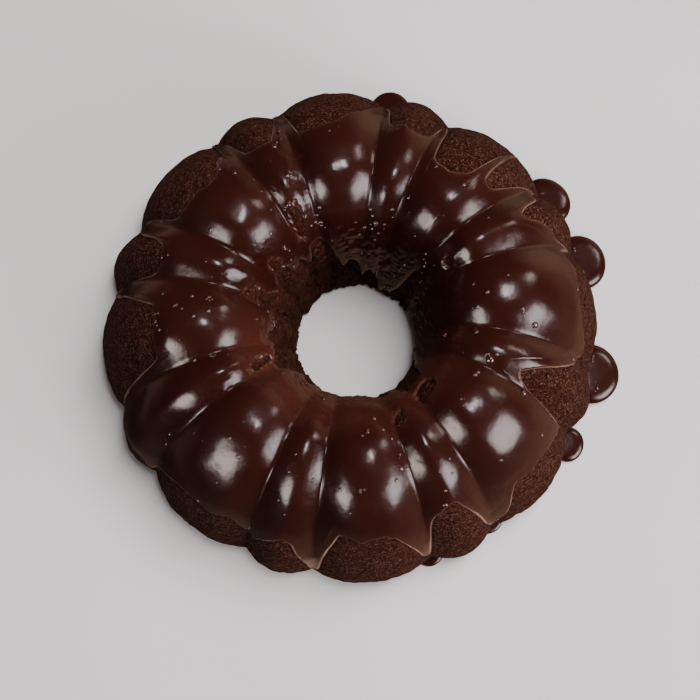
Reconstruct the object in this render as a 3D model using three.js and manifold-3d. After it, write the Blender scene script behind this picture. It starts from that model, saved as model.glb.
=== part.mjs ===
import * as THREE from "three";
import { mergeVertices } from "three/addons/utils/BufferGeometryUtils.js";
import Module from "manifold-3d";

// Fluted chocolate ring cake with a poured coat of ganache and the beads that ran off it.
// Millimetres, +Z up, base on Z = 0, origin under the middle of the whole.

// Ring: crest, belly, foot and the centre hole
const CREST_RADIUS = 70;
const CREST_HEIGHT = 84;
const BELLY_RADIUS = 125;
const BELLY_HEIGHT = 14;
const HOLE_RADIUS = 29.8;
const HOLE_LIP = 2;
const FOOT_OUTER = 104;
const FOOT_INNER = 33.5;

// How full the shoulders are, as handles of the two flanks
const OUTER_TOP_HANDLE = 28;
const OUTER_LOW_HANDLE = [116, 52];
const INNER_TOP_HANDLE = 26;
const INNER_LOW_HANDLE = [37, 44];

// The hole runs a little aslant: how far, and towards which bearing, its foot lies off the axis
const HOLE_LEAN = 4.5;
const HOLE_LEAN_BEARING = -51;

// Flutes: eight broad lobes and eight narrow ones in turn
const PERIODS = 8;
const PITCH = 360 / PERIODS;
const FIRST_LOBE = 5.3;
const BROAD_HALF = 14.25;
const NARROW_HALF = PITCH / 2 - BROAD_HALF;
const BROAD_ROUND = 2.5;
const NARROW_ROUND = 1.8;
const NARROW_DROP = 3;
const BROAD_COLUMNS = [-1, -0.86, -0.6, -0.3, 0, 0.3, 0.6, 0.86];
const NARROW_COLUMNS = [-1, -0.72, -0.36, 0, 0.36, 0.72];

// Groove depth at the hole foot, in the hole, on the crest, on the shoulder and at the belly
const DEPTH_AT = [-1, -0.7, -0.35, 0, 0.4, 1, 2];
const DEPTH = [0.8, 2, 5.5, 8.5, 9.5, 6, 3];

// Rows of the ring, from the hole's foot (-1) over the crest (0) to the belly (1) and the foot (2)
const ROWS = [-1, -0.84, -0.68, -0.53, -0.4, -0.27, -0.13, 0, 0.13, 0.27, 0.41, 0.55, 0.7, 0.85, 1, 1.35, 1.7, 2];

// Ganache: thickness, and how far down it comes on each lobe and in each groove, from the first lobe on
const COAT_ON_LOBE = 2;
const COAT_IN_GROOVE = 3.8;
const COAT_AT_HEM = 1.3;
const HEM_ROLL = 0.14;
const GAP = 0.3;
const LOBE_REACH = [0.57, 0.31, 0.17, 0.31, 0.25, 0.24, 0.24, 0.28, 0.65, 0.75, 0.67, 0.64, 0.53, 0.45, 0.63, 0.33];
const GROOVE_REACH = [0.84, 0.78, 0.62, 0.68, 0.62, 0.66, 0.82, 0.85, 0.93, 0.81, 0.76, 0.97, 0.91, 0.93, 0.8, 0.8];
const HOLE_REACH_LOBE = -0.56;
const HOLE_REACH_GROOVE = -0.68;

// Ganache beads at the foot: bearing, outermost radius, half width, half length outward and height
const BEADS = [
  [79.6, 133.2, 10.8, 10, 6],
  [33.9, 137.6, 13.6, 12.6, 8],
  [17.6, 139.4, 14.4, 13.4, 8.2],
  [-8.9, 140.2, 15, 13.8, 8.6],
  [-26.2, 132.8, 9.8, 9, 6],
  [-53.3, 124.5, 6.5, 6, 3.6],
  [-69.9, 124.5, 7.5, 6.5, 4],
];
const BEAD_SECTORS = 20;
const BEAD_RINGS = [0.4, 0.7, 0.88, 0.97];

const wasm = await Module();
wasm.setup();

const radians = (degrees) => (degrees * Math.PI) / 180;
const mix = (a, b, t) => a + (b - a) * t;

function along(stops, values, at) {
  for (let i = 1; i < stops.length; i++) {
    if (at <= stops[i]) {
      return mix(values[i - 1], values[i], (at - stops[i - 1]) / (stops[i] - stops[i - 1]));
    }
  }
  return values[values.length - 1];
}

function curve(a, b, c, d, t) {
  const s = 1 - t;
  return [0, 1].map((k) => s * s * s * a[k] + 3 * s * s * t * b[k] + 3 * s * t * t * c[k] + t * t * t * d[k]);
}

// Cross section as [radius, height] at v
function section(v) {
  const crest = [CREST_RADIUS, CREST_HEIGHT];
  const belly = [BELLY_RADIUS, BELLY_HEIGHT];
  if (v > 1) {
    return curve(belly, [BELLY_RADIUS + 0.5, 5], [FOOT_OUTER + 12, 0], [FOOT_OUTER, 0], v - 1);
  }
  if (v >= 0) {
    return curve(crest, [CREST_RADIUS + OUTER_TOP_HANDLE, CREST_HEIGHT], OUTER_LOW_HANDLE, belly, v);
  }
  const lip = [HOLE_RADIUS, HOLE_LIP];
  return curve(crest, [CREST_RADIUS - INNER_TOP_HANDLE, CREST_HEIGHT], INNER_LOW_HANDLE, lip, -v);
}

// Outward normal of the cross section; below the belly it stays level
function normal(v) {
  if (v > 1) {
    return [1, 0];
  }
  const step = 0.001;
  const a = section(Math.max(v - step, -1));
  const b = section(Math.min(v + step, 1));
  const length = Math.hypot(b[0] - a[0], b[1] - a[1]);
  return [-(b[1] - a[1]) / length, (b[0] - a[0]) / length];
}

// Columns around the ring: angle, place across the flute (-1 to 1) and number of the flute
function columnsAround() {
  const columns = [];
  for (let period = 0; period < PERIODS; period++) {
    const broad = FIRST_LOBE + period * PITCH;
    for (const x of BROAD_COLUMNS) {
      columns.push({ angle: broad + x * BROAD_HALF, x, narrow: false, flute: 2 * period });
    }
    for (const x of NARROW_COLUMNS) {
      columns.push({ angle: broad + PITCH / 2 + x * NARROW_HALF, x, narrow: true, flute: 2 * period + 1 });
    }
  }
  return columns;
}

// 1 along the top of a lobe, 0 in the groove
function swell(column) {
  return 1 - Math.abs(column.x) ** (column.narrow ? NARROW_ROUND : BROAD_ROUND);
}

// How much farther from the axis the wall of the hole stands at a column
function lean(column, v) {
  return HOLE_LEAN * Math.max(-v, 0) ** 1.5 * Math.cos(radians(column.angle - HOLE_LEAN_BEARING));
}

// Point of the fluted surface, raised by the given height
function fluted(column, v, raise) {
  const [r, z] = section(v);
  const [nr, nz] = normal(v);
  const drop = column.narrow ? NARROW_DROP * Math.max(0, 1 - Math.abs(v - 0.1) / 0.9) * swell(column) : 0;
  const move = raise - along(DEPTH_AT, DEPTH, v) * (1 - swell(column)) - drop;
  return [r + nr * move + lean(column, v), z + nz * move];
}

// Closed solid swept around the axis: one loop of [radius, height] for every column
function ring(columns, loopOf) {
  const loops = columns.map(loopOf);
  const rows = loops[0].length;
  const positions = [];
  const triangles = [];
  loops.forEach((loop, c) => {
    const angle = radians(columns[c].angle);
    for (const [r, z] of loop) {
      positions.push(r * Math.cos(angle), r * Math.sin(angle), z);
    }
  });
  for (let c = 0; c < columns.length; c++) {
    const next = (c + 1) % columns.length;
    for (let i = 0; i < rows; i++) {
      const j = (i + 1) % rows;
      const a = c * rows + i;
      const b = next * rows + i;
      const d = next * rows + j;
      const e = c * rows + j;
      triangles.push(a, e, d, a, d, b);
    }
  }
  return solid(positions, triangles);
}

function solid(positions, triangles) {
  let geometry = new THREE.BufferGeometry();
  geometry.setAttribute("position", new THREE.Float32BufferAttribute(positions, 3));
  geometry.setIndex(triangles);
  geometry = mergeVertices(geometry, 1e-4);
  return new wasm.Manifold(new wasm.Mesh({
    numProp: 3,
    vertProperties: new Float32Array(geometry.attributes.position.array),
    triVerts: new Uint32Array(geometry.index.array),
  }));
}

function largest(body) {
  return body.decompose().reduce((a, b) => (b.volume() > a.volume() ? b : a));
}

function namedMesh(name, body, material) {
  const out = body.getMesh();
  const geometry = new THREE.BufferGeometry();
  geometry.setAttribute("position", new THREE.Float32BufferAttribute(Array.from(out.vertProperties), 3));
  geometry.setIndex(Array.from(out.triVerts));
  geometry.computeVertexNormals();
  const mesh = new THREE.Mesh(geometry, material);
  mesh.name = name;
  return mesh;
}

// The ring itself, or the same ring grown all over by a small amount
function cakeRing(columns, grow) {
  return ring(columns, (column) => {
    const loop = ROWS.map((v) => fluted(column, v, grow));
    loop[ROWS.length - 1][1] -= grow;
    loop[ROWS.length - 2][1] -= grow;
    loop.push([FOOT_INNER + lean(column, -1), -grow]);
    return loop;
  });
}

// Lowest v of the coat on the outside at a column
function hem(column) {
  const flutes = 2 * PERIODS;
  const groove = column.x < 0 ? (column.flute + flutes - 1) % flutes : column.flute;
  return mix(GROOVE_REACH[groove], LOBE_REACH[column.flute], swell(column));
}

function holeHem(column) {
  return mix(HOLE_REACH_GROOVE, HOLE_REACH_LOBE, swell(column));
}

// Height of the coat's surface over the cake: fuller in the grooves, rolled down to its hem
function coatHeight(column, v) {
  const full = mix(COAT_IN_GROOVE, COAT_ON_LOBE, swell(column));
  const left = Math.min(hem(column) - v, v - holeHem(column)) / HEM_ROLL;
  const roll = Math.min(Math.max(left, 0), 1);
  return mix(COAT_AT_HEM, full, Math.sqrt(roll * (2 - roll)));
}

// Solid that keeps what lies between the coat's two hems
function hemArch(columns) {
  const under = 5;
  const over = 9;
  return ring(columns, (column) => {
    const outer = hem(column);
    const inner = holeHem(column);
    return [
      fluted(column, inner, -under),
      fluted(column, inner, over),
      [8, CREST_HEIGHT + 30],
      [BELLY_RADIUS + 30, CREST_HEIGHT + 30],
      fluted(column, outer, over),
      fluted(column, outer, -under),
    ];
  });
}

function ganacheCoat(columns, cleared) {
  const raised = ring(columns, (column) => {
    const loop = ROWS.map((v) => fluted(column, v, coatHeight(column, v)));
    loop.push([FOOT_INNER + lean(column, -1), 0]);
    return loop;
  });
  return largest(raised.subtract(cleared).intersect(hemArch(columns)));
}

// Domed bead with a steep rounded edge, standing on the base plane at the foot of a groove
function ganacheBead([bearing, outermost, halfWidth, halfLength, height], cleared) {
  const positions = [];
  const triangles = [];
  const turn = radians(bearing);
  const centre = outermost - halfLength;
  const put = (share, sector, z) => {
    const angle = (2 * Math.PI * sector) / BEAD_SECTORS;
    const out = centre + share * halfLength * Math.cos(angle);
    const side = share * halfWidth * Math.sin(angle);
    positions.push(out * Math.cos(turn) - side * Math.sin(turn), out * Math.sin(turn) + side * Math.cos(turn), z);
  };
  const rings = [...BEAD_RINGS, 1].reverse();
  for (const share of rings) {
    for (let s = 0; s < BEAD_SECTORS; s++) {
      put(share, s, share === 1 ? height * 0.3 : height * (0.3 + 0.7 * Math.sqrt(1 - share ** 3)));
    }
  }
  for (let s = 0; s < BEAD_SECTORS; s++) {
    put(0.95, s, 0);
  }
  put(0, 0, height);
  put(0, 0, 0);
  const last = rings.length - 1;
  const foot = rings.length;
  const top = (foot + 1) * BEAD_SECTORS;
  for (let s = 0; s < BEAD_SECTORS; s++) {
    const n = (s + 1) % BEAD_SECTORS;
    for (let k = 0; k < last; k++) {
      const a = k * BEAD_SECTORS;
      const b = a + BEAD_SECTORS;
      triangles.push(a + s, a + n, b + n, a + s, b + n, b + s);
    }
    triangles.push(last * BEAD_SECTORS + s, last * BEAD_SECTORS + n, top);
    triangles.push(foot * BEAD_SECTORS + s, foot * BEAD_SECTORS + n, n, foot * BEAD_SECTORS + s, n, s);
    triangles.push(foot * BEAD_SECTORS + n, foot * BEAD_SECTORS + s, top + 1);
  }
  return largest(solid(positions, triangles).subtract(cleared));
}

const crumb = new THREE.MeshStandardMaterial({ color: "#2b1512", roughness: 0.9, metalness: 0 });
const ganache = new THREE.MeshStandardMaterial({ color: "#210a06", roughness: 0.15, metalness: 0 });

const columns = columnsAround();
const cleared = cakeRing(columns, GAP);
const group = new THREE.Group();
group.name = "bundt_cake";
group.add(namedMesh("cake", cakeRing(columns, 0), crumb));
group.add(namedMesh("ganache", ganacheCoat(columns, cleared), ganache));
BEADS.forEach((bead, i) => {
  group.add(namedMesh(`ganache_bead_${i + 1}`, ganacheBead(bead, cleared), ganache));
});

// Origin under the middle of the whole
const middle = new THREE.Box3().setFromObject(group).getCenter(new THREE.Vector3());
for (const mesh of group.children) {
  mesh.geometry.translate(-middle.x, -middle.y, 0);
}

export default group;
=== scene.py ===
import math

import bmesh
import bpy
import numpy as np
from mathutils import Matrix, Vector
from mathutils.kdtree import KDTree


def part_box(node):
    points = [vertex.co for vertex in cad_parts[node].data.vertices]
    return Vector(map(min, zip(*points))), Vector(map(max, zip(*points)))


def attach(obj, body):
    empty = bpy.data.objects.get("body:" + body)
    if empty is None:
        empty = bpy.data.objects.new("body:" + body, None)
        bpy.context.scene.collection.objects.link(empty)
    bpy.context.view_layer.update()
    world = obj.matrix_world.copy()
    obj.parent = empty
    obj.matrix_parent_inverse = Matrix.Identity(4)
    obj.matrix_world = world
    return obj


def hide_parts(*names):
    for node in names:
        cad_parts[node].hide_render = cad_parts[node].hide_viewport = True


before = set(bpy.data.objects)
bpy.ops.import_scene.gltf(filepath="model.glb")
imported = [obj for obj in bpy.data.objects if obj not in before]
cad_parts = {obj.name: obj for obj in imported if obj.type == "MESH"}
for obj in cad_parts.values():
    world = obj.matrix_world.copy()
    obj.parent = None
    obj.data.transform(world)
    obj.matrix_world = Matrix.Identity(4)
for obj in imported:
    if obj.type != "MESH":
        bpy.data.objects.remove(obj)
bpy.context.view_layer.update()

# The ring's axis: the cake's outline is the same on opposite sides
LOW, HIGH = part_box("cake")
AXIS_X = (LOW.x + HIGH.x) / 2
AXIS_Y = (LOW.y + HIGH.y) / 2

# Form of the ring in millimetres, as in the part's source
CREST = (70.0, 84.0)
BELLY = (125.0, 14.0)
LIP = (29.8, 2.0)
FOOT = (104.0, 0.0)
FOOT_INNER = 33.5
LEAN = 4.5
LEAN_BEARING = -51.0
FIRST_LOBE = 5.3
PITCH = 45.0
BROAD_HALF = 14.25
NARROW_HALF = PITCH / 2 - BROAD_HALF
BROAD_ROUND = 2.5
NARROW_ROUND = 1.8
NARROW_DROP = 3.0
DEPTH_AT = [-1, -0.7, -0.35, 0, 0.4, 1, 2]
DEPTH = [0.8, 2, 5.5, 8.5, 9.5, 6, 3]
CRUMB_TOP = 84.9

# Ganache in millimetres: its rounded edge, its middle, and how deep its underside is sunk into the cake
COAT_EDGE = 1.25
COAT_MIDDLE = 1.75
COAT_SUNK = 1.5

# Where the ganache ends on the outside: bearing, and how far down from the crest (0) to the belly (1)
HEM = [
    (5.8, 0.57), (12, 0.62), (17.8, 0.66), (19.6, 0.88), (21.2, 0.66), (24, 0.53), (28.8, 0.31),
    (30.8, 0.4), (32, 0.57), (34.8, 0.69), (36.2, 0.82), (37.4, 0.67), (38.8, 0.41), (40.2, 0.26),
    (41.8, 0.22), (43.5, 0.23), (44.4, 0.3), (45.2, 0.56), (45.8, 0.84), (46.5, 0.56), (47.5, 0.3),
    (48.2, 0.2), (49.4, 0.15), (53.5, 0.1), (57.8, 0.11), (60.8, 0.16), (61.8, 0.32), (62.4, 0.52),
    (63.6, 0.64), (64.7, 0.62), (65.5, 0.44), (66.8, 0.35), (69.5, 0.29), (71.8, 0.29), (74.2, 0.33),
    (76.5, 0.31), (78.4, 0.38), (79.2, 0.57), (81, 0.7), (83, 0.62), (84.2, 0.55), (87.2, 0.4),
    (91.2, 0.32), (93.8, 0.26), (98.8, 0.23), (103.2, 0.23), (106.3, 0.28), (107.4, 0.46), (108.3, 0.72),
    (109.6, 0.81), (110.8, 0.73), (111.6, 0.54), (112.8, 0.42), (114.2, 0.32), (116, 0.25), (120, 0.25),
    (123, 0.3), (124.2, 0.38), (125.2, 0.63), (126.2, 0.84), (127.2, 0.87), (128.1, 0.66), (129, 0.45),
    (131.6, 0.38), (133.5, 0.29), (136.8, 0.22), (143.2, 0.25), (151.2, 0.33), (152.6, 0.42),
    (153.6, 0.8), (154.8, 0.85), (156.8, 0.74), (158.5, 0.61), (159.6, 0.43), (162.2, 0.32),
    (164.5, 0.31), (168, 0.345), (169.6, 0.42), (170.4, 0.62), (171.2, 0.9), (172.2, 0.93), (173.2, 0.86),
    (175.4, 0.6), (178, 0.4), (180.2, 0.28), (185.8, 0.275), (189.5, 0.3), (193.8, 0.315), (195.6, 0.38),
    (196.6, 0.56), (197.2, 0.7), (197.9, 0.88), (199.8, 0.97), (203.8, 0.96), (207.8, 0.91), (212, 0.92),
    (215, 0.97), (216.6, 0.89), (219.8, 0.8), (224.8, 0.69), (230, 0.67), (234.2, 0.68), (239, 0.65),
    (243, 0.74), (245.4, 0.78), (250, 0.69), (253.8, 0.63), (255.4, 0.66), (257, 0.76), (258.8, 0.86),
    (260.8, 0.97), (262.6, 0.95), (263.6, 0.8), (264.6, 0.7), (265.9, 0.61), (268, 0.51), (271, 0.53),
    (272.8, 0.56), (275.5, 0.53), (278, 0.52), (281.5, 0.58), (283.8, 0.67), (286, 0.79), (287.8, 0.91),
    (289.4, 0.93), (290.4, 0.75), (291.1, 0.62), (292.4, 0.54), (295, 0.49), (298, 0.45), (299.6, 0.51),
    (301.3, 0.61), (302.8, 0.72), (303.8, 0.84), (305.6, 0.94), (309, 0.89), (311, 0.81), (312.8, 0.69),
    (314.6, 0.62), (318, 0.63), (323.5, 0.64), (328.8, 0.7), (332.4, 0.77), (333.4, 0.78), (334.2, 0.6),
    (335.1, 0.36), (336.6, 0.24), (338.5, 0.2), (340.2, 0.24), (343, 0.36), (346, 0.54), (348.5, 0.68),
    (350.4, 0.75), (352.6, 0.8), (355, 0.75), (357.5, 0.66), (359.8, 0.61),
]

# Thin drip ends with a painted pale sheen, a painted reflection: bearing, half width in degrees and how pale
DRIP_END_SHEEN = [(171.8, 2.2, 0.4), (208.0, 8.0, 0.16), (261.2, 3.0, 0.62), (288.6, 2.6, 0.22)]

# Where it ends inside the hole, on the same measure from the crest (0) to the foot of the hole (-1)
HOLE_HEM = [
    (0, -0.97), (14, -0.97), (24, -0.93), (31, -0.66), (36, -0.62), (42, -0.86), (50, -0.96), (58, -0.97),
    (66, -0.88), (72, -0.8), (79, -0.86), (88, -0.76), (96, -0.8), (103, -0.7), (111, -0.58),
    (116, -0.56), (124, -0.66), (130, -0.58), (137, -0.62), (143, -0.52), (149, -0.5), (156, -0.62),
    (163, -0.58), (168, -0.5), (174, -0.55), (181, -0.64), (187, -0.6), (193, -0.52), (199, -0.64),
    (206, -0.56), (212, -0.52), (219, -0.66), (227, -0.8), (234, -0.7), (241, -0.93), (249, -0.84),
    (258, -0.96), (270, -0.98), (281, -0.96), (289, -0.78), (295, -0.6), (300, -0.74), (305, -0.56),
    (311, -0.5), (317, -0.48), (323, -0.62), (330, -0.84), (340, -0.96), (350, -0.98),
]

# Bare patches inside the coat: bearing, place on the section, half length down it and half width in mm,
# and turn in degrees
PATCHES = [
    (120.6, -0.37, 9.5, 2.0, -8),
    (210.6, -0.38, 8.0, 1.9, 6),
    (169.6, -0.46, 6.5, 3.0, 0),
    (311.6, -0.34, 6.5, 5.0, 20),
    (293.0, -0.24, 4.8, 2.4, 0),
    (146.4, -0.48, 4.2, 2.4, 0),
    (26.3, -0.33, 3.2, 1.6, 30),
]

# Ganache beads: bearing, outermost radius, half width, half length outward and height
BEADS = [
    (80.2, 133.7, 10.8, 10, 6),
    (35.0, 136.9, 13.6, 12.6, 8),
    (18.3, 138.6, 14.4, 13.4, 8.2),
    (-9.0, 138.9, 15, 13.8, 8.6),
    (-26.8, 131.8, 8.8, 8.8, 5.7),
    (-53.6, 123.4, 6.5, 6, 3.6),
    (-70.3, 123.5, 7.5, 6.5, 4),
]

# Larger air bubbles in the skin: bearing, place on the section and radius in mm
LARGE_BUBBLES = [
    (354.2, 0.205, 1.7), (358.2, 0.11, 1.0), (348.2, -0.19, 1.1), (337.8, -0.025, 1.9), (330.0, -0.08, 1.5),
    (331.6, -0.06, 1.1), (358.8, -0.175, 1.0), (115.8, -0.035, 1.2), (130.8, 0.16, 1.2), (151.5, 0.04, 1.1),
    (46.8, 0.075, 1.0), (267.2, 0.19, 1.0), (258.5, 0.165, 0.9), (107.2, -0.315, 1.0), (199.8, 0.08, 0.9),
]

# Rings of small bubbles: bearing, place on the section and how many
BUBBLE_RINGS = [
    (273.5, 0.185, 3), (178.2, -0.08, 5), (200.5, -0.05, 5), (357.0, 0.12, 4), (349.2, -0.2, 3),
    (114.8, -0.03, 4), (338.9, -0.05, 6),
]

# Small wet beads near the foot of the hole, on its left and near side
WET_BEADS = 46

# Bubbles on the beads: bead, place outward and across as shares of its half sizes, and radius in mm
BEAD_BUBBLES = [
    (1, 0.0, 0.34, 0.6), (1, 0.06, 0.29, 0.45), (1, 0.08, -0.36, 0.65),
    (2, -0.1, 0.5, 0.6), (2, -0.11, 0.4, 0.7), (2, -0.12, -0.48, 0.6), (2, -0.06, -0.45, 0.5),
    (3, -0.1, 0.38, 0.6), (3, -0.12, 0.47, 0.55), (3, -0.09, 0.56, 0.5), (3, 0.19, -0.5, 0.9), (3, 0.14, -0.61, 0.6),
]

# Height of a bubble as a share of its radius
DOME_HEIGHT = 0.6

rng = np.random.default_rng(11)


# Small helpers
def lattice(points, cell, seed):
    """Smooth random field between -1 and 1 whose features have the size of a cell."""
    p = points / cell
    base = np.floor(p).astype(np.int64)
    f = p - base
    f = f * f * f * (f * (f * 6 - 15) + 10)
    total = np.zeros(len(p))
    for corner in range(8):
        step = np.array([corner & 1, corner >> 1 & 1, corner >> 2 & 1])
        c = base + step
        h = c[:, 0] * 73856093 ^ c[:, 1] * 19349663 ^ c[:, 2] * 83492791 ^ seed * 2654435761
        h = (h ^ h >> 15) * 2246822519 & 0xFFFFFFFF
        h = (h ^ h >> 13) * 3266489917 & 0xFFFFFFFF
        value = (h ^ h >> 16) / 0x7FFFFFFF - 1
        total += value * np.prod(np.where(step, f, 1 - f), axis=1)
    return total


def through(knots, at, period=None):
    """Smooth curve through the knots that never swings past them."""
    x, y = np.array(knots, float).T
    if period:
        x = np.concatenate([x - period, x, x + period])
        y = np.tile(y, 3)
    step = np.diff(x)
    slope = np.diff(y) / step
    m = np.zeros(len(x))
    same = slope[1:] * slope[:-1] > 0
    w1 = 2 * step[1:] + step[:-1]
    w2 = step[1:] + 2 * step[:-1]
    a = np.where(same, slope[:-1], 1)
    b = np.where(same, slope[1:], 1)
    m[1:-1] = np.where(same, (w1 + w2) / (w1 / a + w2 / b), 0)
    m[0], m[-1] = slope[0], slope[-1]
    i = np.clip(np.searchsorted(x, at) - 1, 0, len(step) - 1)
    t = (at - x[i]) / step[i]
    h = step[i]
    return (
        y[i] * (1 + 2 * t) * (1 - t) ** 2
        + h * m[i] * t * (1 - t) ** 2
        + y[i + 1] * t * t * (3 - 2 * t)
        + h * m[i + 1] * t * t * (t - 1)
    )


def curve(a, b, c, d, t):
    s = (1 - t)[..., None]
    t = t[..., None]
    return s**3 * np.array(a) + 3 * s * s * t * np.array(b) + 3 * s * t * t * np.array(c) + t**3 * np.array(d)


def section(v):
    """Cross section of the ring as radius and height, millimetres."""
    v = np.asarray(v, float)
    outer = curve(CREST, (98, 84), (116, 52), BELLY, np.clip(v, 0, 1))
    inner = curve(CREST, (44, 84), (37, 44), LIP, np.clip(-v, 0, 1))
    foot = curve(BELLY, (125.5, 5), (116, 0), FOOT, np.clip(v - 1, 0, 1))
    return np.where((v > 1)[..., None], foot, np.where((v >= 0)[..., None], outer, inner))


def section_normal(v):
    at = np.clip(v, -0.999, 0.999)
    d = section(at + 0.001) - section(at - 0.001)
    d /= np.linalg.norm(d, axis=-1, keepdims=True)
    n = np.stack([-d[..., 1], d[..., 0]], -1)
    level = np.clip((v - 0.9) / 0.35, 0, 1)[..., None]
    n = n * (1 - level) + np.array([1.0, 0.0]) * level
    return n / np.linalg.norm(n, axis=-1, keepdims=True)


_grid = np.linspace(-1.3, 2.3, 721)
_kernel = np.exp(-0.5 * (np.arange(-40, 41) / 14.0) ** 2)
_smooth_depth = np.convolve(np.interp(_grid, DEPTH_AT, DEPTH), _kernel / _kernel.sum(), "same")


def surface(bearing, v, fillet, raise_by=0.0):
    """Points of the fluted surface in millimetres about the ring's axis; fillet rounds the grooves."""
    mid = section(v)
    n = section_normal(v)
    a = (bearing - FIRST_LOBE + PITCH / 2) % PITCH - PITCH / 2
    narrow = np.abs(a) > BROAD_HALF
    x = np.where(narrow, (PITCH / 2 - np.abs(a)) / NARROW_HALF, np.abs(a) / BROAD_HALF)
    half = np.radians(np.where(narrow, NARROW_HALF, BROAD_HALF)) * mid[..., 0]
    edge = np.sqrt(((1 - x) * half) ** 2 + fillet**2)
    x = np.clip(1 - edge / half, 0, 1)
    swell = 1 - x ** np.where(narrow, NARROW_ROUND, BROAD_ROUND)
    deep = np.interp(v, _grid, _smooth_depth) * (1 - swell)
    drop = np.where(narrow, NARROW_DROP * np.clip(1 - np.abs(v - 0.1) / 0.9, 0, 1) * swell, 0)
    move = raise_by - deep - drop
    lean = LEAN * np.clip(-v, 0, 1) ** 1.5 * np.cos(np.radians(bearing - LEAN_BEARING))
    r = mid[..., 0] + n[..., 0] * move + lean
    z = mid[..., 1] + n[..., 1] * move
    turn = np.radians(bearing)
    return np.stack([r * np.cos(turn), r * np.sin(turn), z], -1)


def unevenness(p):
    """Slow irregularity of a hand-turned-out cake, millimetres along the normal."""
    return 0.55 * lattice(p, 42, 3) + 0.3 * lattice(p, 19, 4)


def normals_of(points):
    """Normals of a grid that is closed around its first axis."""
    around = np.roll(points, -1, 0) - np.roll(points, 1, 0)
    down = np.gradient(points, axis=1)
    n = np.cross(around, down)
    n /= np.maximum(np.linalg.norm(n, axis=-1, keepdims=True), 1e-12)
    return n


def ring_mesh(name, loops):
    """Closed mesh from loops of points around the ring, every loop closed on itself."""
    columns, rows, _ = loops.shape
    verts = loops.reshape(-1, 3) * 0.001 + np.array([AXIS_X, AXIS_Y, 0])
    c, i = np.meshgrid(np.arange(columns), np.arange(rows), indexing="ij")
    n, j = (c + 1) % columns, (i + 1) % rows
    quads = np.stack([c * rows + i, c * rows + j, n * rows + j, n * rows + i], -1).reshape(-1, 4)
    return mesh_object(name, verts, quads)


def mesh_object(name, verts, faces):
    mesh = bpy.data.meshes.new(name)
    mesh.from_pydata([], [], [])
    size = faces.shape[1]
    mesh.vertices.add(len(verts))
    mesh.vertices.foreach_set("co", np.ascontiguousarray(verts, np.float32).ravel())
    mesh.loops.add(faces.size)
    mesh.loops.foreach_set("vertex_index", np.ascontiguousarray(faces, np.int32).ravel())
    mesh.polygons.add(len(faces))
    mesh.polygons.foreach_set("loop_start", np.arange(0, faces.size, size, dtype=np.int32))
    mesh.update(calc_edges=True)
    mesh.validate()
    mesh.polygons.foreach_set("use_smooth", np.ones(len(mesh.polygons), bool))
    piece = bpy.data.objects.new(name, mesh)
    bpy.context.scene.collection.objects.link(piece)
    return piece


def paint(piece, name, values):
    layer = piece.data.attributes.new(name, "FLOAT", "POINT")
    layer.data.foreach_set("value", np.ascontiguousarray(values, np.float32).ravel())


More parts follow.
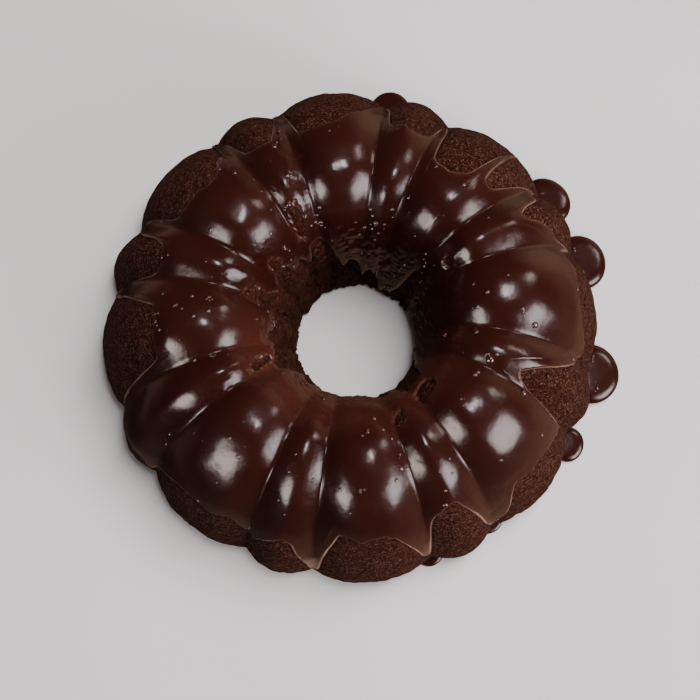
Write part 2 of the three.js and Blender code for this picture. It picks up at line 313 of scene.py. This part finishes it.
# Cake
def build_cake():
    columns = 940
    bearing = np.arange(columns) * 360.0 / columns
    inside_rows = np.linspace(-1, -0.31, 72)
    covered_rows = np.linspace(-0.3, 0.09, 14)
    outside_rows = np.linspace(0.1, 1, 112)
    foot_rows = np.linspace(1.04, 2, 26)
    v = np.concatenate([inside_rows, covered_rows, outside_rows, foot_rows])
    b, vv = np.meshgrid(bearing, v, indexing="ij")
    p = surface(b, vv, 0.5)
    n = normals_of(p)
    n *= np.sign((n * (p - surface(b, vv, 0.5, -1.0))).sum(-1))[..., None]
    flat = p.reshape(-1, 3)
    coarse = lattice(flat, 7.5, 20) * 0.26 + lattice(flat, 4.2, 21) * 0.2
    fine = lattice(flat, 2.6, 22) * 0.17
    holes = np.clip(lattice(flat, 3.0, 23) - 0.45, 0, 1) * 1.5
    holes += np.clip(lattice(flat, 4.6, 24) - 0.55, 0, 1) * 2.0
    torn = np.clip(-vv.reshape(-1) - 0.3, 0, 1)
    hem_bearing, hem_out, hem_in = hem_points()
    inside = np.minimum(
        np.interp(b, hem_bearing, hem_out) - vv, vv - np.interp(b, hem_bearing, hem_in),
    ) * 70
    inside = np.minimum(inside, patch_distance(b, vv, p))
    cover = np.clip(inside / 2.0, 0, 1).reshape(-1)
    lift = coarse * (1 + 1.6 * torn) + fine * (1 + torn) - holes * (0.7 + 1.2 * torn)
    lift = lift * (1 - 0.85 * cover) - 0.9 * cover
    lift = lift + unevenness(flat)
    ragged = np.clip((-vv.reshape(-1) - 0.86) / 0.14, 0, 1)
    tears = 0.8 * lattice(flat, 3.6, 25) + 0.6 * lattice(flat, 1.7, 26) + 0.45 * lattice(flat, 1.0, 28)
    lift += ragged * (tears - 0.4)
    settle = np.clip((2 - vv.reshape(-1)) / 0.3, 0, 1)
    p = p + n * (lift * settle).reshape(p.shape[:2])[..., None]
    p[..., 2] = np.clip(p[..., 2], 0.0, CRUMB_TOP)

    # Flat baked underside, from the foot back to the hole
    share = np.linspace(0, 1, 16)[1:-1]
    straight = p[:, -1:, :] * (1 - share[None, :, None]) + p[:, :1, :] * share[None, :, None]
    dents = 0.25 * (1 + lattice(straight.reshape(-1, 3), 5, 27)).reshape(straight.shape[:2])
    turn = np.radians(bearing)[:, None]
    lip = FOOT_INNER + LEAN * np.cos(np.radians(bearing - LEAN_BEARING))[:, None]
    outer = np.hypot(p[:, -1:, 0], p[:, -1:, 1])
    r = outer * (1 - share) + lip * share
    under = np.stack([r * np.cos(turn), r * np.sin(turn), dents * np.sin(np.pi * share)], -1)
    last = np.stack([lip * np.cos(turn), lip * np.sin(turn), 0 * lip], -1)
    loops = np.concatenate([p, under, last], axis=1)
    piece = ring_mesh("cake_crumb", loops)
    where = loops.reshape(-1, 3)
    place = np.full(loops.shape[:2], 2.0)
    place[:, : p.shape[1]] = vv
    wet = np.clip((-place - 0.28) / 0.12, 0, 1)
    wet = wet * np.clip(0.35 + 1.1 * lattice(where, 6, 31).reshape(place.shape), 0, 1)
    paint(piece, "wet", wet)
    return piece


# Ganache
def hem_points():
    bearing = np.arange(0, 360, 0.05)
    outside = through(HEM, bearing, 360)
    inside = through(HOLE_HEM, bearing, 360)
    where = surface(bearing, outside, 1.2)
    outside = outside + 0.006 * lattice(where, 3.0, 41) + 0.004 * lattice(where, 1.4, 42)
    where = surface(bearing, inside, 1.2)
    inside = inside + 0.035 * lattice(where, 5.0, 43) + 0.02 * lattice(where, 2.2, 44)
    return bearing, np.clip(outside, 0.05, 0.985), np.clip(inside, -0.985, -0.2)


def patch_distance(b, v, p):
    """Distance outward from the nearest bare patch, millimetres, negative inside one."""
    nearest = np.full(b.shape, 99.0)
    for bearing, at, length, width, turn in PATCHES:
        radius = section(np.array([at]))[0, 0]
        across = np.radians((b - bearing + 180) % 360 - 180) * radius
        along = (v - at) * 82.0
        t = math.radians(turn)
        x = along * math.cos(t) + across * math.sin(t)
        y = across * math.cos(t) - along * math.sin(t)
        shape = np.sqrt((x / length) ** 2 + (y / width) ** 2)
        away = (shape - 1) * width
        nearest = np.minimum(nearest, away)
    rough = 0.9 * lattice(p.reshape(-1, 3), 2.6, 45) + 0.5 * lattice(p.reshape(-1, 3), 1.3, 46)
    return nearest + rough.reshape(nearest.shape)


def build_coat():
    hem_bearing, hem_out, hem_in = hem_points()
    ends = np.concatenate([surface(hem_bearing, hem_out, 1.2), surface(hem_bearing, hem_in, 1.2)])
    tree = KDTree(len(ends))
    for k, point in enumerate(ends):
        tree.insert(point, k)
    tree.balance()

    columns = 1200
    bearing = np.arange(columns) * 360.0 / columns
    top = np.interp(bearing, hem_bearing, hem_out)
    low = np.interp(bearing, hem_bearing, hem_in)
    s = np.linspace(0, 1, 168)
    s = s - 0.75 * np.sin(2 * np.pi * s) / (2 * np.pi)
    v = low[:, None] + (top - low)[:, None] * s[None, :]
    b = np.repeat(bearing[:, None], len(s), axis=1)
    base = surface(b, v, 1.4)
    flat = base.reshape(-1, 3)
    room = np.minimum(np.abs(v - top[:, None]), np.abs(v - low[:, None])).reshape(-1) * 70
    gap = np.full(len(flat), 12.0)
    for k in np.flatnonzero(room < 12.0):
        gap[k] = min(tree.find(flat[k])[2], 12.0)
    gap = gap.reshape(v.shape)
    gap = np.minimum(gap, patch_distance(b, v, base))

    a = (b - FIRST_LOBE + PITCH / 2) % PITCH - PITCH / 2
    groove = np.abs(np.abs(a) - BROAD_HALF) * np.radians(1) * section(v)[..., 0]
    full = COAT_MIDDLE + 0.5 * np.exp(-((groove / 4.0) ** 2))
    full += 0.42 * lattice(flat, 17, 51).reshape(v.shape) + 0.2 * lattice(flat, 8.5, 52).reshape(v.shape)
    full += 0.55 * np.clip(v - 0.5, 0, 1) * np.exp(-((groove / 5.0) ** 2))
    inside = np.clip((-v - 0.35) / 0.3, 0, 1)
    full -= 0.55 * inside
    full += inside * (0.45 * lattice(flat, 3.4, 53) + 0.5 * lattice(flat, 1.9, 54)).reshape(v.shape)
    shoulder = np.clip(gap / 1.9, 0, 1)
    swell = np.clip((gap - 1.0) / 9.0, 0, 1)
    swell = swell * swell * (3 - 2 * swell)
    thick = COAT_EDGE + (full - COAT_EDGE) * swell
    thick = thick * np.sqrt(1 - (1 - shoulder) ** 2) - 0.35 * (1 - shoulder) ** 3
    thick = np.where(gap < 0, np.maximum(-0.9, -0.35 + gap * 0.9), thick)
    thick += unevenness(flat).reshape(v.shape)
    dirs = surface(b, v, 1.4, 1.0) - base
    outer = base + dirs * thick[..., None]

    # Underside, sunk a little into the cake
    keep = np.unique(np.linspace(0, len(s) - 1, 26).astype(int))[::-1]
    depth = unevenness(base[:, keep].reshape(-1, 3)).reshape(columns, -1, 1) - COAT_SUNK
    under = base[:, keep] + dirs[:, keep] * depth
    loops = np.concatenate([outer, under], axis=1)
    piece = ring_mesh("ganache_coat", loops)
    thin = np.zeros(loops.shape[:2])
    near = np.clip(1 - gap / 3.0, 0, 1) * 0.5
    slope = np.clip((-v - 0.12) / 0.3, 0, 1) * np.clip(np.cos(np.radians(b - 262)) * 1.5, 0, 1)
    thin[:, : outer.shape[1]] = np.clip(np.maximum(near, slope), 0, 1)
    paint(piece, "thin", thin)
    # Painted highlight: a pale line along the ganache's hem where its rounded edge would catch light and reflect the
    # plate, plus painted sheen on some drip ends
    edge = np.zeros(loops.shape[:2])
    patchy = np.clip(0.85 + 0.6 * lattice(flat, 9, 55).reshape(v.shape), 0.45, 1)
    facing = np.clip(0.82 - 0.27 * np.cos(np.radians(b - 50)), 0, 1)
    wide = 0.4 + 0.35 * np.clip((v - 0.45) / 0.25, 0, 1)
    painted_rim_highlight = np.clip(1.2 - np.abs(gap - wide) / wide, 0, 1)
    up = normals_of(outer)
    up = up[..., 2] * np.sign((up * dirs).sum(-1))
    # Painted reflection also where the coat near its edge turns to face outward and down
    painted_rim_highlight = np.maximum(painted_rim_highlight, np.clip(1.1 - up / 0.34, 0, 1) * np.clip((1.2 - gap) / 0.4, 0, 1) * (gap > 0))
    # The painted highlight is stronger on the side away from bearing 50, broken up at random, and faint inside the
    # hole
    painted_rim_highlight = painted_rim_highlight * np.where(v > 0, facing * patchy, 0.12)
    # Painted sheen on the listed drip ends
    for end, half_width, sheen_strength in DRIP_END_SHEEN:
        across = np.abs((b - end + 180) % 360 - 180) / half_width
        painted_rim_highlight = np.maximum(painted_rim_highlight, sheen_strength * np.clip((v - 0.78) / 0.14, 0, 1) * np.clip(1.6 - across, 0, 1))
    edge[:, : outer.shape[1]] = painted_rim_highlight
    paint(piece, "edge", edge)
    return piece, outer, gap, v


def build_bubbles(outer, gap, v):
    """Small air bubbles that stand in the skin of the ganache, some of them in groups."""
    columns, rows, _ = outer.shape
    n = normals_of(outer)
    centre = np.array([0, 0, 30.0])
    n *= np.sign((n * (outer - centre)).sum(-1))[..., None]
    picks = []
    for _ in range(26):
        c0, r0 = rng.integers(columns), rng.integers(12, rows - 12)
        for _ in range(rng.integers(3, 10)):
            c = int(c0 + rng.normal(0, 9)) % columns
            r = int(np.clip(r0 + rng.normal(0, 5), 4, rows - 5))
            picks.append((c, r, abs(rng.normal(0.5, 0.3)) + 0.3))
    for _ in range(150):
        picks.append((rng.integers(columns), rng.integers(6, rows - 6), abs(rng.normal(0.35, 0.3)) + 0.25))
    for _ in range(WET_BEADS):
        c = int(rng.uniform(200, 335) / 360 * columns)
        lowest = min(max(v[c].min() + 0.03, -0.95), -0.6)
        at = rng.uniform(lowest, -0.5)
        picks.append((c, int(np.abs(v[c] - at).argmin()), abs(rng.normal(0.3, 0.3)) + 0.3))
    for bearing, at, size in LARGE_BUBBLES:
        c = int(bearing / 360 * columns) % columns
        picks.append((c, int(np.abs(v[c] - at).argmin()), size))
    for bearing, at, count in BUBBLE_RINGS:
        for k in range(count):
            w = 2 * math.pi * k / count
            c = int((bearing + 0.75 * math.cos(w)) / 360 * columns) % columns
            picks.append((c, int(np.abs(v[c] - at - 0.013 * math.sin(w)).argmin()), 0.6))
    domes = [(outer[c, r], n[c, r], size) for c, r, size in picks if gap[c, r] >= 1.2]
    for index, along, across, size in BEAD_BUBBLES:
        bearing, outermost, half_width, half_length, height = BEADS[index]
        x = outermost - half_length + along * half_length
        y = across * half_width
        z = height * bead_top(math.hypot(along, across)) * bead_tilt(along)
        domes.append((np.array(turned(x, y, z, bearing)), np.array([0.0, 0.0, 1.0]), size))
    verts, faces = [], []
    sectors, rings = 12, 5
    for at, up, size in domes:
        side = np.cross(up, [0.3, 0.2, 0.9])
        side /= np.linalg.norm(side)
        other = np.cross(up, side)
        start = len(verts)
        verts.append(at + up * size * DOME_HEIGHT)
        for k in range(1, rings + 1):
            phi = k / (rings + 1) * math.pi
            for q in range(sectors):
                w = 2 * math.pi * q / sectors
                verts.append(
                    at + up * size * DOME_HEIGHT * math.cos(phi)
                    + (side * math.cos(w) + other * math.sin(w)) * size * math.sin(phi)
                )
        verts.append(at - up * size * DOME_HEIGHT)
        end = len(verts) - 1
        for q in range(sectors):
            m = (q + 1) % sectors
            faces.append((start, start + 1 + q, start + 1 + m))
            for k in range(rings - 1):
                a = start + 1 + k * sectors
                faces.append((a + q, a + sectors + q, a + sectors + m))
                faces.append((a + q, a + sectors + m, a + m))
            a = start + 1 + (rings - 1) * sectors
            faces.append((a + q, end, a + m))
    verts = np.array(verts) * 0.001 + np.array([AXIS_X, AXIS_Y, 0])
    return mesh_object("ganache_bubbles", verts, np.array(faces))


def turned(x, y, z, bearing):
    """A point that lies x outward and y across a bearing, about the ring's axis."""
    turn = math.radians(bearing)
    return x * math.cos(turn) - y * math.sin(turn), x * math.sin(turn) + y * math.cos(turn), z


def bead_top(share):
    """Upper side of a bead as a share of its height, flat in the middle."""
    return 0.3 + 0.7 * math.sqrt(1 - share**4.5)


def bead_tilt(along):
    """A bead is lower on its outer side."""
    return 0.83 - 0.17 * along


def build_bead(index, bearing, outermost, half_width, half_length, height):
    sectors, rings = 96, 30
    centre = outermost - half_length
    loops = []
    for k in range(rings + 1):
        phi = k / rings * 0.62 * math.pi
        out = math.sin(phi)
        tall = bead_top(out) if phi < math.pi / 2 else 0.3 + 0.82 * math.cos(phi)
        loops.append((out, max(tall, 0.0) * height))
    points = []
    for share, z in loops:
        for q in range(sectors):
            w = 2 * math.pi * q / sectors
            wobble = 1 + 0.018 * math.sin(2 * w + index) + 0.012 * math.sin(3 * w + 2 * index)
            x = centre + share * half_length * math.cos(w) * wobble
            y = share * half_width * math.sin(w) * wobble
            points.append(turned(x, y, z * bead_tilt(share * math.cos(w)), bearing))
    faces = []
    for k in range(rings):
        for q in range(sectors):
            m = (q + 1) % sectors
            a = k * sectors
            faces.append((a + q, a + sectors + q, a + sectors + m, a + m))
    mesh = bpy.data.meshes.new(f"bead_{index}")
    verts = np.array(points) * 0.001 + np.array([AXIS_X, AXIS_Y, 0])
    mesh.from_pydata([tuple(p) for p in verts], [], faces)
    mesh.update()
    piece = bpy.data.objects.new(f"bead_{index}", mesh)
    bpy.context.scene.collection.objects.link(piece)
    close_ends(piece)
    return piece


def close_ends(piece):
    bm = bmesh.new()
    bm.from_mesh(piece.data)
    bmesh.ops.remove_doubles(bm, verts=bm.verts, dist=1e-6)
    open_edges = [e for e in bm.edges if e.is_boundary]
    if open_edges:
        bmesh.ops.holes_fill(bm, edges=open_edges, sides=0)
    bmesh.ops.recalc_face_normals(bm, faces=bm.faces)
    for f in bm.faces:
        f.smooth = True
    bm.to_mesh(piece.data)
    bm.free()


# Materials
def nodes_of(name):
    material = bpy.data.materials.new(name)
    material.use_nodes = True
    tree = material.node_tree
    tree.nodes.clear()
    out = tree.nodes.new("ShaderNodeOutputMaterial")
    shader = tree.nodes.new("ShaderNodeBsdfPrincipled")
    tree.links.new(shader.outputs["BSDF"], out.inputs["Surface"])
    place = tree.nodes.new("ShaderNodeTexCoord")
    return material, tree, shader, place.outputs["Object"]


def noise_node(tree, where, scale, detail=2.0, rough=0.5):
    node = tree.nodes.new("ShaderNodeTexNoise")
    node.inputs["Scale"].default_value = scale
    node.inputs["Detail"].default_value = detail
    node.inputs["Roughness"].default_value = rough
    tree.links.new(where, node.inputs["Vector"])
    return node.outputs["Fac"]


def cell_node(tree, where, scale):
    node = tree.nodes.new("ShaderNodeTexVoronoi")
    node.inputs["Scale"].default_value = scale
    tree.links.new(where, node.inputs["Vector"])
    return node.outputs["Distance"]


def cell_shade(tree, where, scale):
    """A random grey for every cell."""
    node = tree.nodes.new("ShaderNodeTexVoronoi")
    node.inputs["Scale"].default_value = scale
    tree.links.new(where, node.inputs["Vector"])
    parts = tree.nodes.new("ShaderNodeSeparateColor")
    tree.links.new(node.outputs["Color"], parts.inputs[0])
    return parts.outputs[0]


def ramp_node(tree, value, stops):
    node = tree.nodes.new("ShaderNodeValToRGB")
    ramp = node.color_ramp
    while len(ramp.elements) < len(stops):
        ramp.elements.new(0.5)
    for element, (at, colour) in zip(ramp.elements, stops):
        element.position = at
        element.color = (*colour, 1)
    tree.links.new(value, node.inputs["Fac"])
    return node.outputs["Color"]


def grey(x):
    return (x, x, x)


def math_node(tree, kind, a, b):
    node = tree.nodes.new("ShaderNodeMath")
    node.operation = kind
    for k, x in enumerate((a, b)):
        if isinstance(x, (int, float)):
            node.inputs[k].default_value = x
        else:
            tree.links.new(x, node.inputs[k])
    return node.outputs[0]


def mix_node(tree, share, a, b):
    node = tree.nodes.new("ShaderNodeMix")
    node.data_type = "RGBA"
    if isinstance(share, (int, float)):
        node.inputs[0].default_value = share
    else:
        tree.links.new(share, node.inputs[0])
    for socket, x in ((node.inputs[6], a), (node.inputs[7], b)):
        if isinstance(x, tuple):
            socket.default_value = (*x, 1)
        else:
            tree.links.new(x, socket)
    return node.outputs[2]


def attribute_node(tree, name):
    node = tree.nodes.new("ShaderNodeAttribute")
    node.attribute_name = name
    return node.outputs["Fac"]


def bump_node(tree, shader, steps):
    last = None
    for height, strength, distance in steps:
        node = tree.nodes.new("ShaderNodeBump")
        node.inputs["Strength"].default_value = strength
        node.inputs["Distance"].default_value = distance
        tree.links.new(height, node.inputs["Height"])
        if last:
            tree.links.new(last, node.inputs["Normal"])
        last = node.outputs["Normal"]
    tree.links.new(last, shader.inputs["Normal"])


def crumb_material():
    material, tree, shader, where = nodes_of("chocolate_crumb")
    broad = noise_node(tree, where, 70, 2)
    grain = cell_shade(tree, where, 1450)
    pores = cell_node(tree, where, 1000)
    fine = ramp_node(tree, pores, [(0.0, grey(0.0)), (0.2, grey(0.0)), (0.42, grey(1.0))])
    holes = cell_node(tree, where, 430)
    large = ramp_node(tree, holes, [(0.0, grey(0.0)), (0.14, grey(0.0)), (0.26, grey(1.0))])
    colour = ramp_node(tree, grain, [
        (0.0, (0.012, 0.0034, 0.002)),
        (0.4, (0.031, 0.0094, 0.0054)),
        (0.8, (0.056, 0.021, 0.0132)),
        (1.0, (0.135, 0.066, 0.047)),
    ])
    colour = mix_node(tree, math_node(tree, "MULTIPLY", broad, 0.5), colour, (0.03, 0.0078, 0.0042))
    # Painted shade: the pores and larger holes, which also drive the bump, are darkened in the colour as if shaded
    # in their pits
    colour = mix_node(tree, fine, (0.009, 0.0023, 0.0013), colour)
    colour = mix_node(tree, large, (0.006, 0.0016, 0.001), colour)
    wet = attribute_node(tree, "wet")
    colour = mix_node(tree, math_node(tree, "MULTIPLY", wet, 0.6), colour, (0.04, 0.0095, 0.005))
    tree.links.new(colour, shader.inputs["Base Color"])
    rough = math_node(tree, "ADD", math_node(tree, "MULTIPLY", wet, -0.6), 0.85)
    tree.links.new(rough, shader.inputs["Roughness"])
    shader.inputs["Specular IOR Level"].default_value = 0.03
    bump_node(tree, shader, [(large, 0.8, 0.0006), (fine, 0.8, 0.0004), (grain, 0.5, 0.0002)])
    return material


def ganache_material():
    material, tree, shader, where = nodes_of("dark_ganache")
    broad = noise_node(tree, where, 38, 2)
    skin = noise_node(tree, where, 1300, 2, 0.5)
    wave = noise_node(tree, where, 150, 2, 0.45)
    dots = cell_node(tree, where, 330)
    pits = ramp_node(tree, dots, [(0.0, grey(0.0)), (0.1, grey(0.15)), (0.16, grey(1.0))])
    colour = mix_node(tree, broad, (0.0165, 0.0036, 0.0024), (0.028, 0.0062, 0.004))
    thin = attribute_node(tree, "thin")
    colour = mix_node(tree, math_node(tree, "MULTIPLY", thin, 0.62), colour, (0.085, 0.024, 0.016))
    # Painted highlight: a pale colour along the hem and on drip ends, from the edge attribute
    edge = attribute_node(tree, "edge")
    colour = mix_node(tree, math_node(tree, "MULTIPLY", edge, 0.85), colour, (0.33, 0.215, 0.165))
    tree.links.new(colour, shader.inputs["Base Color"])
    rough = math_node(tree, "ADD", math_node(tree, "MULTIPLY", broad, 0.14), 0.13)
    tree.links.new(rough, shader.inputs["Roughness"])
    shader.inputs["IOR"].default_value = 1.47
    shader.inputs["Specular IOR Level"].default_value = 0.5
    bump_node(tree, shader, [(skin, 0.14, 0.00012), (wave, 0.26, 0.001), (pits, 0.3, 0.00012)])
    return material


def bubble_material():
    material, tree, shader, where = nodes_of("ganache_bubble")
    tint = noise_node(tree, where, 900, 2)
    colour = mix_node(tree, tint, (0.016, 0.004, 0.0025), (0.05, 0.012, 0.007))
    tree.links.new(colour, shader.inputs["Base Color"])
    shader.inputs["Roughness"].default_value = 0.06
    shader.inputs["IOR"].default_value = 2.0
    bump_node(tree, shader, [(tint, 0.1, 0.0001)])
    return material


def floor_material():
    material, tree, shader, where = nodes_of("pale_floor")
    shade = noise_node(tree, where, 6, 2)
    tree.links.new(ramp_node(tree, shade, [(0.3, grey(0.66)), (0.7, grey(0.7))]), shader.inputs["Base Color"])
    shader.inputs["Roughness"].default_value = 0.75
    return material


# Camera: the photograph looks down from 79 degrees
ELEVATION = math.radians(79.3)
DISTANCE = 0.7
FOCAL_LENGTH = 69.84
AIM_X = AXIS_X - 0.0002
AIM_Y = AXIS_Y - 0.0068
camera_data = bpy.data.cameras.new("camera")
camera_data.lens = FOCAL_LENGTH
camera_data.sensor_width = 36
camera_data.clip_start = 0.01
camera_data.clip_end = 50
camera = bpy.data.objects.new("camera", camera_data)
bpy.context.scene.collection.objects.link(camera)
camera.location = (AXIS_X, AXIS_Y - DISTANCE * math.cos(ELEVATION), DISTANCE * math.sin(ELEVATION))
aim = Vector((AIM_X, AIM_Y, 0))
camera.rotation_euler = (aim - camera.location).to_track_quat("-Z", "Y").to_euler()
bpy.context.scene.camera = camera


def soft_box(name, bearing, elevation, distance, width, height, watts, colour, edge=0.3):
    """Area light that fades towards its edges, as a diffuser does."""
    data = bpy.data.lights.new(name, "AREA")
    data.shape = "RECTANGLE"
    data.size = width
    data.size_y = height
    data.energy = watts
    data.color = colour
    data.use_nodes = True
    tree = data.node_tree
    glow = tree.nodes["Emission"]
    where = tree.nodes.new("ShaderNodeNewGeometry")
    parts = tree.nodes.new("ShaderNodeSeparateXYZ")
    tree.links.new(where.outputs["Parametric"], parts.inputs[0])
    fade = []
    for axis in (0, 1):
        far = math_node(tree, "SUBTRACT", 1.0, parts.outputs[axis])
        near = math_node(tree, "MINIMUM", parts.outputs[axis], far)
        fade.append(math_node(tree, "MINIMUM", math_node(tree, "DIVIDE", near, edge), 1.0))
    tree.links.new(math_node(tree, "MULTIPLY", fade[0], fade[1]), glow.inputs["Strength"])
    light = bpy.data.objects.new(name, data)
    bpy.context.scene.collection.objects.link(light)
    a, e = math.radians(bearing), math.radians(elevation)
    light.location = (
        distance * math.cos(e) * math.cos(a), distance * math.cos(e) * math.sin(a), distance * math.sin(e),
    )
    light.rotation_euler = (Vector((0, 0, 0.05)) - light.location).to_track_quat("-Z", "Y").to_euler()
    return light


soft_box("box_right", -33, 23, 1.7, 1.6, 1.3, 80, (1.0, 0.905, 0.925), 0.3)
box_left = soft_box("box_left", -130, 26, 1.8, 1.15, 1.05, 50, (1.0, 0.88, 0.8), 0.28)
box_left.visible_diffuse = False
soft_box("box_above", 14, 80, 1.9, 0.62, 0.48, 30, (1.0, 0.93, 0.97), 0.35)
box_far = soft_box("box_far", 32, 37, 1.8, 0.6, 0.75, 18, (1.0, 0.86, 0.8), 0.5)
box_far.visible_diffuse = False
ceiling = soft_box("ceiling", 42, 62, 2.2, 1.3, 1.3, 84, (1.0, 0.97, 0.94), 0.2)
ceiling.visible_glossy = False
fill = soft_box("fill", 186, 34, 2.0, 1.2, 1.2, 9, (1.0, 0.95, 0.9), 0.2)
fill.visible_glossy = False


def build_world():
    """Dim room, with a paler wall low on one side."""
    world = bpy.data.worlds.new("studio")
    bpy.context.scene.world = world
    world.use_nodes = True
    tree = world.node_tree
    back = tree.nodes["Background"]
    place = tree.nodes.new("ShaderNodeTexCoord")
    toward = tree.nodes.new("ShaderNodeVectorMath")
    toward.operation = "DOT_PRODUCT"
    a, e = math.radians(50), math.radians(-6)
    toward.inputs[1].default_value = (math.cos(a) * math.cos(e), math.sin(a) * math.cos(e), math.sin(e))
    tree.links.new(place.outputs["Generated"], toward.inputs[0])
    near = toward.outputs["Value"]
    glow = ramp_node(tree, near, [(0.8, grey(0.0)), (0.93, grey(0.45)), (0.995, grey(1.0))])
    parts = tree.nodes.new("ShaderNodeSeparateXYZ")
    tree.links.new(place.outputs["Generated"], parts.inputs[0])
    height = math_node(tree, "ADD", math_node(tree, "MULTIPLY", parts.outputs[2], 0.5), 0.5)
    room = ramp_node(tree, height, [
        (0.18, (0.02, 0.014, 0.011)),
        (0.25, (0.36, 0.23, 0.165)),
        (0.33, (0.28, 0.175, 0.125)),
        (0.42, (0.12, 0.075, 0.055)),
        (0.5, (0.045, 0.034, 0.031)),
        (0.56, (0.042, 0.028, 0.03)),
    ])
    away = math_node(tree, "ADD", math_node(tree, "MULTIPLY", parts.outputs[1], 0.8), 0.85)
    away = math_node(tree, "ADD", away, math_node(tree, "MULTIPLY", parts.outputs[0], 0.45))
    away = math_node(tree, "MINIMUM", math_node(tree, "MAXIMUM", away, 0.15), 1.0)
    room = mix_node(tree, away, (0.02, 0.016, 0.015), room)
    below = ramp_node(tree, height, [(0.0, grey(1.0)), (0.18, grey(0.8)), (0.3, grey(0.0))])
    side = math_node(tree, "ADD", math_node(tree, "MULTIPLY", parts.outputs[0], 0.8), 0.4)
    side = math_node(tree, "ADD", side, math_node(tree, "MULTIPLY", parts.outputs[1], -0.5))
    side = math_node(tree, "MINIMUM", math_node(tree, "MAXIMUM", side, 0.0), 1.0)
    room = mix_node(tree, math_node(tree, "MULTIPLY", below, side), room, (0.48, 0.28, 0.185))
    colour = mix_node(tree, math_node(tree, "MULTIPLY", glow, 0.95), room, (0.8, 0.53, 0.33))
    tree.links.new(colour, back.inputs["Color"])
    back.inputs["Strength"].default_value = 1.0


build_world()

# Floor
FLOOR_HALF = 4.0
FLOOR_LEVEL = -0.0002
corners = [(-1, -1), (1, -1), (1, 1), (-1, 1)]
floor_points = np.array([(x * FLOOR_HALF, y * FLOOR_HALF, FLOOR_LEVEL) for x, y in corners])
floor = mesh_object("floor", floor_points, np.array([[0, 1, 2, 3]]))
floor.data.materials.append(floor_material())
floor.visible_glossy = False

# The cake itself
crumb = crumb_material()
ganache = ganache_material()

cake = build_cake()
cake.data.materials.append(crumb)
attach(cake, "root")
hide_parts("cake")

coat, skin, hem_gap, places = build_coat()
coat.data.materials.append(ganache)
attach(coat, "root")
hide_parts("ganache")

bubbles = build_bubbles(skin, hem_gap, places)
bubbles.data.materials.append(bubble_material())
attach(bubbles, "root")

for number, sizes in enumerate(BEADS, 1):
    bead = build_bead(number, *sizes)
    bead.data.materials.append(ganache)
    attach(bead, "root")
    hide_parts(f"ganache_bead_{number}")
